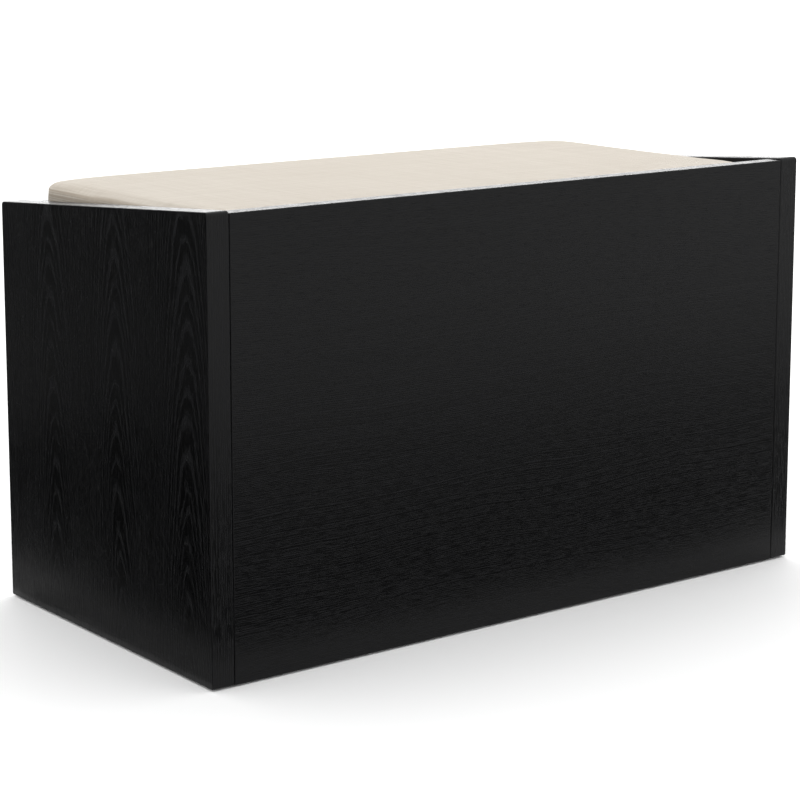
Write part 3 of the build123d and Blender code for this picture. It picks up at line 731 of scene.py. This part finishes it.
# %% Spread the moves, cap them and use them
SWELL_CAP = np.array([1.2, 1.0, 3.0]) * MM  # sideways, front to back, and up
EVENING = 60
BOARD_BLEND = 12 * MM
ends = np.empty(2 * len(seat.data.edges), dtype=int)
seat.data.edges.foreach_get("vertices", ends)
one, other = ends.reshape(-1, 2).T
neighbours = np.bincount(ends, minlength=len(swell))[:, None]


def evened(values, times):
    """Spread each point's value over its neighbours, again and again."""
    for _ in range(times):
        total = np.zeros_like(values)
        np.add.at(total, one, values[other])
        np.add.at(total, other, values[one])
        values = values / 2 + total / neighbours / 2
    return values


above_board = smoothstep(BOARD_HIGH.z, BOARD_HIGH.z + BOARD_BLEND, start_points[:, 2])[:, None]
swell = SWELL_CAP * np.tanh(evened(swell, EVENING) / SWELL_CAP) * above_board
put_points(seat.data, evened(start_points, 1) + swell)
print("kept at most", np.round(np.abs(swell).max(axis=0) / MM, 2), "mm")

# %% Smooth once
subdivide = seat.modifiers.new("finer", "SUBSURF")
subdivide.levels = 1
subdivide.render_levels = 1
apply_modifiers(seat)
rows = points_of(seat.data)
normals = np.empty(3 * len(rows))
seat.data.vertices.foreach_get("normal", normals)
normals = normals.reshape(-1, 3)
print("seat now has", len(rows), "points")

# %% [markdown]
# ## Drag lines and gathered corners
# A cover pulled by hand keeps faint ridges beside its edges, each strong in some places and gone in
# others, and under each corner its spare cloth is folded in. Both are too fine for the cloth's
# mesh, and a noise would look like dents. So each is drawn as waves: the ridges run along an edge
# and fade from it, and the folds fan out from a point inside the corner.

# %% Draw the drag lines
RIDGE = 9 * MM
FINE_RIDGE = 5.4 * MM
END_RIDGES = 0.22 * MM
LONG_RIDGES = 0.09 * MM
from_end = SEAT_HIGH.x - np.abs(rows[:, 0])
from_long = SEAT_HALF_DEPTH - np.abs(rows[:, 1] - SEAT_MID.y)
upper = smoothstep(BOARD_HIGH.z, BOARD_HIGH.z + BOARD_BLEND, rows[:, 2])


def drag_lines(inward, along, height, seed):
    """Faint ridges beside an edge, each with its own strength along its length."""
    path = inward + (SEAT_HIGH.z - height)
    waver = 1.6 * MM * np.sin(along * 21.0 + seed) + 1.0 * MM * np.sin(along * 47.0 + 2 * seed)
    ridges = np.sin((path + waver) * 2 * math.pi / RIDGE)
    ridges += 0.5 * np.sin((path - waver) * 2 * math.pi / FINE_RIDGE)
    patchy = 0.55 + 0.45 * np.sin(along * 13.0 + 3 * seed) * np.sin(along * 29.0 + seed)
    return ridges * patchy * (1 - smoothstep(14 * MM, 40 * MM, path))


lines = END_RIDGES * drag_lines(from_end, rows[:, 1], rows[:, 2], 1.3)
lines += LONG_RIDGES * drag_lines(from_long, rows[:, 0], rows[:, 2], 2.1)
rows += normals * (lines * upper)[:, None]
print("ridges rise at most", round(float(lines.max()) / MM, 2), "mm")

# %% Gather the cover under each corner
GATHER_ROUND = 34 * MM  # from the seat's sides to the point that the folds spread from
GATHER_HEIGHT = 0.7 * MM
FOLDS_A_TURN = 22
beyond_x = np.abs(rows[:, 0]) - (SEAT_HIGH.x - GATHER_ROUND)
beyond_y = np.abs(rows[:, 1] - SEAT_MID.y) - (SEAT_HALF_DEPTH - GATHER_ROUND)
corner_angle = np.arctan2(beyond_y, beyond_x)
in_corner = smoothstep(0, 6 * MM, beyond_x) * smoothstep(0, 6 * MM, beyond_y)
underneath = normals[:, 2] < -0.8
folds = 0.5 + 0.5 * np.sin(corner_angle * FOLDS_A_TURN + 1.5 * np.sin(corner_angle * 9))
rows[:, 2] += GATHER_HEIGHT * folds * in_corner * underneath
put_points(seat.data, rows)
finish_smooth(seat, cover_cloth)
seat_box = rows.min(axis=0), rows.max(axis=0)
print("seat spans", [np.round(corner, 4).tolist() for corner in seat_box], len(seat.data.polygons), "faces")

# %% [markdown]
# ## The board and the foam inside
# Under the cover are a plywood board and a foam slab. They are hardly seen, but a cover with nothing
# in it would be a shell. The board's edges are eased with a plane, because a sharp arris cuts cloth,
# and the foam is a little smaller than the cover, which pulls it in. Both are rounded blocks again.

# %% Ease the board and cut the foam
BOARD_INSET = 1.5 * MM
BOARD_ARRIS = 3 * MM
FOAM_INSET = 2.5 * MM
FOAM_FOOT = 1 * MM
HAIR = 0.2 * MM  # keeps the two from sharing a face
board = rounded_block(
    "lid_board_eased",
    BOARD_LOW + Vector((BOARD_INSET, BOARD_INSET, HAIR)),
    BOARD_HIGH - Vector((BOARD_INSET, BOARD_INSET, HAIR)),
    SEAT_CORNER - BOARD_INSET,
    BOARD_ARRIS,
    BOARD_ARRIS,
)
board.data.materials.append(birch_ply)
foam = rounded_block(
    "seat_foam_slab",
    FOAM_LOW + Vector((FOAM_INSET, FOAM_INSET, HAIR)),
    FOAM_HIGH - Vector((FOAM_INSET, FOAM_INSET, FOAM_INSET)),
    SEAT_CORNER - FOAM_INSET,
    SEAT_EDGE,
    FOAM_FOOT,
)
foam.data.materials.append(open_foam)
print("inside the cover:", board.name, foam.name)

# %% [markdown]
# ## The cloth under the lid
# Lift the seat and its underside shows a thin black non-woven cloth that hides the raw board. Its
# edges are folded under once and stapled. Between the staples the fold bellies out a little, and the
# middle of the cloth hangs a hair lower than its edges. A grid of points moved by a few formulas
# does this better than a cloth simulation, which would be slow to settle for such small moves.

# %% Non-woven cloth
SEALED_DOTS = 2.4 * MM  # from one heat-sealed dot's wave to the next


def non_woven(name):
    """Thin black felted cloth with a regular grid of small heat-sealed dots."""
    finish, tree, shader = new_finish(name)
    where, place = place_on_piece(tree)
    wave_x, wave_y = (
        sum_of(tree, "SINE", sum_of(tree, "MULTIPLY", place[i], 2 * math.pi / SEALED_DOTS))
        for i in range(2)
    )
    dots = ramp(tree, sum_of(tree, "MULTIPLY", wave_x, wave_y), 0.5, 0.8)
    fibres = noise(tree, where, 1800.0, 3.0, 0.7)
    tone = sum_of(tree, "MULTIPLY_ADD", dots, -0.3, fibres, clamp=True)
    tint(tree, shader, tone, (0.006, 0.006, 0.0065), (0.03, 0.03, 0.032))
    shader.inputs["Roughness"].default_value = 0.9
    shader.inputs["Specular IOR Level"].default_value = 0.2
    relief(tree, shader, sum_of(tree, "MULTIPLY_ADD", dots, -0.8, fibres), 0.12 * MM)
    return finish


black_non_woven = non_woven("black_non_woven")
print("under the lid:", black_non_woven.name)

# %% Lay a flat grid
CLOTH_STEP = 4 * MM
cloth_size = CLOTH_HIGH - CLOTH_LOW
columns = int(cloth_size.x / CLOTH_STEP) + 1
rows_deep = int(cloth_size.y / CLOTH_STEP) + 1
cloth_shape = bmesh.new()


def cloth_point(i, j):
    """One corner of the grid's squares, just under the board."""
    x = CLOTH_LOW.x + cloth_size.x * i / (columns - 1)
    y = CLOTH_LOW.y + cloth_size.y * j / (rows_deep - 1)
    return cloth_shape.verts.new((x, y, CLOTH_HIGH.z))


grid = [[cloth_point(i, j) for j in range(rows_deep)] for i in range(columns)]
for i in range(columns - 1):
    for j in range(rows_deep - 1):
        cloth_shape.faces.new((grid[i][j], grid[i][j + 1], grid[i + 1][j + 1], grid[i + 1][j]))
dust_cloth = new_piece("dust_cloth_sheet", cloth_shape)
print("dust cloth:", columns, "by", rows_deep, "points")

# %% Fold its hem, belly it between the staples and let it sag
HEM = 12 * MM
HEM_STEP = 0.3 * MM
CLOTH_THICK = 0.25 * MM
PITCH = 54 * MM  # from staple to staple
BELLY = 0.5 * MM
SAG = 2.0 * MM
cloth_rows = points_of(dust_cloth.data)
edge_x = np.minimum(cloth_rows[:, 0] - CLOTH_LOW.x, CLOTH_HIGH.x - cloth_rows[:, 0])
edge_y = np.minimum(cloth_rows[:, 1] - CLOTH_LOW.y, CLOTH_HIGH.y - cloth_rows[:, 1])
edge = np.minimum(edge_x, edge_y)
hang = SAG * smoothstep(58 * MM, 110 * MM, edge)
hang *= 0.75 + 0.25 * np.sin(cloth_rows[:, 0] * 19.0) * np.sin(cloth_rows[:, 1] * 31.0)
hem_drop = HEM_STEP * (1 - smoothstep(HEM - 1 * MM, HEM + 3 * MM, edge))


def between_staples(along, inward):
    """1 midway between two staples at the edge, 0 at a staple and away from the edge."""
    return np.sin(along * math.pi / PITCH) ** 2 * (1 - smoothstep(4 * MM, 45 * MM, inward))


bellied = np.maximum(
    between_staples(cloth_rows[:, 0], edge_y),
    between_staples(cloth_rows[:, 1], edge_x),
)
cloth_rows[:, 2] -= hang + hem_drop + BELLY * bellied
put_points(dust_cloth.data, cloth_rows)
thicken = dust_cloth.modifiers.new("thickness", "SOLIDIFY")
thicken.thickness = CLOTH_THICK
thicken.offset = 1.0
apply_modifiers(dust_cloth)
finish_smooth(dust_cloth, black_non_woven)
print("dust cloth", len(dust_cloth.data.polygons), "faces")

# %% [markdown]
# ## Staples, by Geometry Nodes
# Some thirty staples hold the cloth, all bent from the same wire and none driven quite square. That
# is work for Geometry Nodes: one staple is bent once, a rectangle is the stapler's path, and the tree
# puts a staple at each step along it, turned by a few degrees of chance. Where a hinge arm lies over
# the edge of the cloth there is no staple, so the tree drops the points close to an arm there. It
# ends in Realize Instances and Set Material, and the result is kept as a plain mesh.

# %% Sizes of the staples
STAPLE_WIRE_R = 0.3 * MM
arm_low, arm_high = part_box("hinge_arm_right")
STAPLING = {
    "Length": STAPLES_HIGH.x - STAPLES_LOW.x,
    "Width": STAPLES_HIGH.y - STAPLES_LOW.y,
    "Pitch": PITCH,
    "Crown": 10 * MM,
    "Leg": 3 * MM,
    "Wire": STAPLE_WIRE_R,
    "Slant": 0.07,
    "Hinge": (arm_low[0] + arm_high[0]) / 2,
    "Keep Out": (arm_high[0] - arm_low[0]) / 2 + 8 * MM,
}
print("stapling:", {name: round(size, 4) for name, size in STAPLING.items()})


# %% Start a geometry tree and run it
def new_node_tree(name, numbers):
    """An empty geometry tree with named number inputs. Returns the tree and its two end nodes."""
    tree = bpy.data.node_groups.new(name, "GeometryNodeTree")
    tree.interface.new_socket("Geometry", in_out="INPUT", socket_type="NodeSocketGeometry")
    for label, value in numbers.items():
        socket = tree.interface.new_socket(label, in_out="INPUT", socket_type="NodeSocketFloat")
        socket.default_value = value
    tree.interface.new_socket("Geometry", in_out="OUTPUT", socket_type="NodeSocketGeometry")
    return tree, add(tree, "NodeGroupInput"), add(tree, "NodeGroupOutput")


def run_tree(name, tree, values):
    """Run a tree on an empty mesh, its inputs set by identifier, and keep the result as a mesh."""
    carrier = bpy.data.objects.new(name, bpy.data.meshes.new(name))
    bpy.context.scene.collection.objects.link(carrier)
    modifier = carrier.modifiers.new("pattern", "NODES")
    modifier.node_group = tree
    for item in tree.interface.items_tree:
        if item.in_out == "INPUT" and item.name in values:
            modifier[item.identifier] = float(values[item.name])
    apply_modifiers(carrier)
    return carrier


print("geometry trees:", run_tree.__doc__)


# %% Bend one staple
def bent_staple(tree, given):
    """Leg, crown and leg, bent from one wire."""
    half_crown = sum_of(tree, "MULTIPLY", given["Crown"], 0.5)
    minus_half = sum_of(tree, "MULTIPLY", half_crown, -1.0)
    bend = add(tree, "GeometryNodeCurvePrimitiveQuadrilateral", mode="POINTS")
    corners = (
        (minus_half, given["Leg"]),
        (minus_half, 0.0),
        (half_crown, 0.0),
        (half_crown, given["Leg"]),
    )
    for i, (x, z) in enumerate(corners):
        feed(tree, bend.inputs[f"Point {i + 1}"], point(tree, x, 0.0, z))
    opened = add(tree, "GeometryNodeSetSplineCyclic")
    opened.inputs["Cyclic"].default_value = False
    tree.links.new(bend.outputs["Curve"], opened.inputs[0])
    eased = add(tree, "GeometryNodeFilletCurve", mode="POLY")
    tree.links.new(opened.outputs[0], eased.inputs["Curve"])
    eased.inputs["Count"].default_value = 3
    feed(tree, eased.inputs["Radius"], sum_of(tree, "MULTIPLY", given["Wire"], 2.5))
    section = add(tree, "GeometryNodeCurvePrimitiveCircle", mode="RADIUS")
    section.inputs["Resolution"].default_value = 8
    feed(tree, section.inputs["Radius"], given["Wire"])
    wire = add(tree, "GeometryNodeCurveToMesh")
    wire.inputs["Fill Caps"].default_value = True
    tree.links.new(eased.outputs[0], wire.inputs["Curve"])
    tree.links.new(section.outputs[0], wire.inputs["Profile Curve"])
    return wire.outputs[0]


print("staple:", bent_staple.__doc__)


# %% Step round the cloth, but not under a hinge arm
def stapled_points(tree, given, place):
    """Points at each step of the stapler's path, with gaps where the hinge arms lie."""
    path = add(tree, "GeometryNodeCurvePrimitiveQuadrilateral", mode="RECTANGLE")
    feed(tree, path.inputs["Width"], given["Length"])
    feed(tree, path.inputs["Height"], given["Width"])
    steps = add(tree, "GeometryNodeCurveToPoints", mode="LENGTH")
    tree.links.new(path.outputs[0], steps.inputs["Curve"])
    feed(tree, steps.inputs["Length"], given["Pitch"])

    off_arm = sum_of(tree, "SUBTRACT", sum_of(tree, "ABSOLUTE", place[0]), given["Hinge"])
    near_arm = sum_of(tree, "LESS_THAN", sum_of(tree, "ABSOLUTE", off_arm), given["Keep Out"])
    at_rear = sum_of(tree, "GREATER_THAN", place[1], sum_of(tree, "MULTIPLY", given["Width"], 0.45))
    drop = add(tree, "GeometryNodeDeleteGeometry", domain="POINT")
    tree.links.new(steps.outputs["Points"], drop.inputs["Geometry"])
    feed(tree, drop.inputs["Selection"], sum_of(tree, "MULTIPLY", near_arm, at_rear))
    return drop.outputs[0]


print("path:", stapled_points.__doc__)

# %% Turn each staple along the path, a little off square
STAPLE_SEED = 4


def staple_turn(tree, given, place):
    """A turn that lays a staple along its side of the rectangle, give or take a chance."""
    out_to_side = sum_of(tree, "MULTIPLY", given["Width"], 0.49)
    long_side = sum_of(tree, "GREATER_THAN", sum_of(tree, "ABSOLUTE", place[1]), out_to_side)
    angle = sum_of(tree, "MULTIPLY", sum_of(tree, "SUBTRACT", 1.0, long_side), math.pi / 2)
    slant = add(tree, "FunctionNodeRandomValue", data_type="FLOAT")
    low, high = [s for s in slant.inputs if s.type == "VALUE"][:2]
    feed(tree, low, sum_of(tree, "MULTIPLY", given["Slant"], -1.0))
    feed(tree, high, given["Slant"])
    slant.inputs["Seed"].default_value = STAPLE_SEED
    chance = next(s for s in slant.outputs if s.type == "VALUE")
    return point(tree, 0.0, 0.0, sum_of(tree, "ADD", angle, chance))


print("turn:", staple_turn.__doc__)


# %% Put the tree together and drive the staples
def staple_tree(finish, sizes):
    """A ring of staples round a rectangle."""
    tree, start, end = new_node_tree("staple_ring", sizes)
    given = start.outputs
    place = numbers_of(tree, add(tree, "GeometryNodeInputPosition").outputs[0])
    ring = add(tree, "GeometryNodeInstanceOnPoints")
    tree.links.new(stapled_points(tree, given, place), ring.inputs["Points"])
    tree.links.new(bent_staple(tree, given), ring.inputs["Instance"])
    tree.links.new(staple_turn(tree, given, place), ring.inputs["Rotation"])
    real = add(tree, "GeometryNodeRealizeInstances")
    paint = add(tree, "GeometryNodeSetMaterial")
    paint.inputs["Material"].default_value = finish
    tree.links.new(ring.outputs[0], real.inputs[0])
    tree.links.new(real.outputs[0], paint.inputs[0])
    tree.links.new(paint.outputs[0], end.inputs[0])
    return tree


staples = run_tree("staple_ring", staple_tree(zinc_plate, STAPLING), STAPLING)
staple_rows = points_of(staples.data)
staple_rows += np.array([0.0, (STAPLES_LOW.y + STAPLES_HIGH.y) / 2, STAPLES_LOW.z + STAPLE_WIRE_R])
put_points(staples.data, staple_rows)
print("staples:", len(staples.data.polygons), "faces")

# %% [markdown]
# ## What rides on what
# The frame knows two bodies, the carcass and the lid. Everything made here belongs to the lid, so it
# swings up with it. Each soft piece takes the place of its plain frame solid.

# %% Ride and replace
for piece, node, slot in (
    (seat, "seat_cover", "seat_fabric"),
    (board, "lid_board", "lid_plywood"),
    (foam, "seat_foam", "seat_foam"),
    (dust_cloth, "dust_cloth", "dust_cloth"),
    (staples, "staples", "zinc_steel"),
):
    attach(piece, "lid")
    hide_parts(node)
    print(piece.name, "rides on the lid in place of", node)

# %% [markdown]
# ## Floor and cards
# A dark lacquered box is a mirror with the lamp turned down: it shows whatever stands round it. So
# the room is plain and pale, and five dark or grey cards are set round the bench, as is done in a
# studio, to keep its faces black and its edges drawn. One stands to the side and four lie on the
# floor. Only the lacquer sees them. They throw no shadow and take no light from the floor.

# %% The floor
FLOOR_RADIUS = 30.0
FLOOR_SHADE = 0.95
floor_shape = bmesh.new()
bmesh.ops.create_circle(floor_shape, cap_ends=True, radius=FLOOR_RADIUS, segments=96)
floor = new_piece("floor", floor_shape)
floor_paint, _, floor_shader = new_finish("pale_floor")
floor_shader.inputs["Base Color"].default_value = (FLOOR_SHADE, FLOOR_SHADE, FLOOR_SHADE, 1)
floor_shader.inputs["Roughness"].default_value = 0.8
floor_shader.inputs["Specular IOR Level"].default_value = 0.1
floor.data.materials.append(floor_paint)
print("floor:", 2 * FLOOR_RADIUS, "m across")


# %% The cards
def card(name, corner, far_corner, shade):
    """A flat card between two opposite corners. Only the lacquer sees it, not the camera."""
    low, high = Vector(corner), Vector(far_corner)
    side = Vector((0, high.y - low.y, 0))
    mesh = bpy.data.meshes.new(name)
    mesh.from_pydata([low, high - side, high, low + side], [], [(0, 1, 2, 3)])
    piece = bpy.data.objects.new(name, mesh)
    bpy.context.scene.collection.objects.link(piece)
    paint, _, shader = new_finish(name + "_paint")
    shader.inputs["Base Color"].default_value = (shade, shade, shade, 1)
    shader.inputs["Roughness"].default_value = 1.0
    shader.inputs["Specular IOR Level"].default_value = 0.0
    mesh.materials.append(paint)
    piece.visible_camera = False
    piece.visible_diffuse = False
    piece.visible_shadow = False
    print(name, "shade", shade)


card("side_card", (1.4, -4.0, 0.003), (1.4, 0.6, 1.5), 0.02)
card("grey_floor_card", (0.45, -4.0, 0.003), (1.4, 0.25, 0.003), 0.12)
card("black_floor_card", (0.45, -0.9, 0.005), (1.1, 0.3, 0.005), 0.002)
card("end_floor_card", (0.386, -4.0, 0.004), (0.45, 0.25, 0.004), 0.4)
card("rear_floor_card", (-2.6, 0.27, 0.004), (0.45, 1.0, 0.004), 0.08)

# %% [markdown]
# ## The light
# White all round gives the cover its even, shadowless look. One large soft lamp overhead and one
# like a far window beyond the bench give the edges their fine light lines. A small hard lamp would
# put a hot spot on the lacquer.

# %% White all round and two soft lamps
WORLD_STRENGTH = 1.3
world = bpy.data.worlds.new("studio")
bpy.context.scene.world = world
world.use_nodes = True
world.node_tree.nodes["Background"].inputs["Color"].default_value = (1, 1, 1, 1)
world.node_tree.nodes["Background"].inputs["Strength"].default_value = WORLD_STRENGTH


def soft_lamp(name, place, aim, size, power):
    """A lamp whose width and height are given by size, turned towards aim."""
    data = bpy.data.lights.new(name, "AREA")
    data.shape = "RECTANGLE"
    data.size, data.size_y = size
    data.energy = power
    lamp = bpy.data.objects.new(name, data)
    bpy.context.scene.collection.objects.link(lamp)
    lamp.location = place
    lamp.rotation_euler = (Vector(aim) - Vector(place)).to_track_quat("-Z", "Y").to_euler()
    lamp.visible_camera = False
    print(name, power, "W")


soft_lamp("overhead", (-0.6, -0.8, 2.6), (0, 0, 0.3), (1.8, 1.8), 14.0)
soft_lamp("far_window", (-3.0, -4.0, 1.0), (0, 0, 0.45), (3.4, 1.6), 40.0)

# %% [markdown]
# ## The camera
# A long lens keeps the box's sides nearly parallel, so that its proportions read true. A wide lens
# close by would make the near corner loom. The camera looks from behind and to one side, from a
# little over the top of the bench, and is placed by two angles and a distance from where it aims.

# %% The camera
AIM = Vector((0.0006, -0.0173, 0.2978))
AZIMUTH = math.radians(142.82)
ELEVATION = math.radians(9.82)
DISTANCE = 2.555
LENS = 107.19
SENSOR = 36.0
camera_data = bpy.data.cameras.new("camera")
camera_data.lens = LENS
camera_data.sensor_width = SENSOR
camera_data.shift_y = -0.12
camera = bpy.data.objects.new("camera", camera_data)
bpy.context.scene.collection.objects.link(camera)
back = Vector(
    (
        math.sin(AZIMUTH) * math.cos(ELEVATION),
        -math.cos(AZIMUTH) * math.cos(ELEVATION),
        math.sin(ELEVATION),
    )
)
camera.location = AIM + back * DISTANCE
camera.rotation_euler = (-back).to_track_quat("-Z", "Y").to_euler()
bpy.context.scene.camera = camera
bpy.context.scene.view_settings.view_transform = "Standard"
print("camera at", [round(number, 3) for number in camera.location])

# %% [markdown]
# ## Sizes
# What was made has to stay inside the bench's own box.
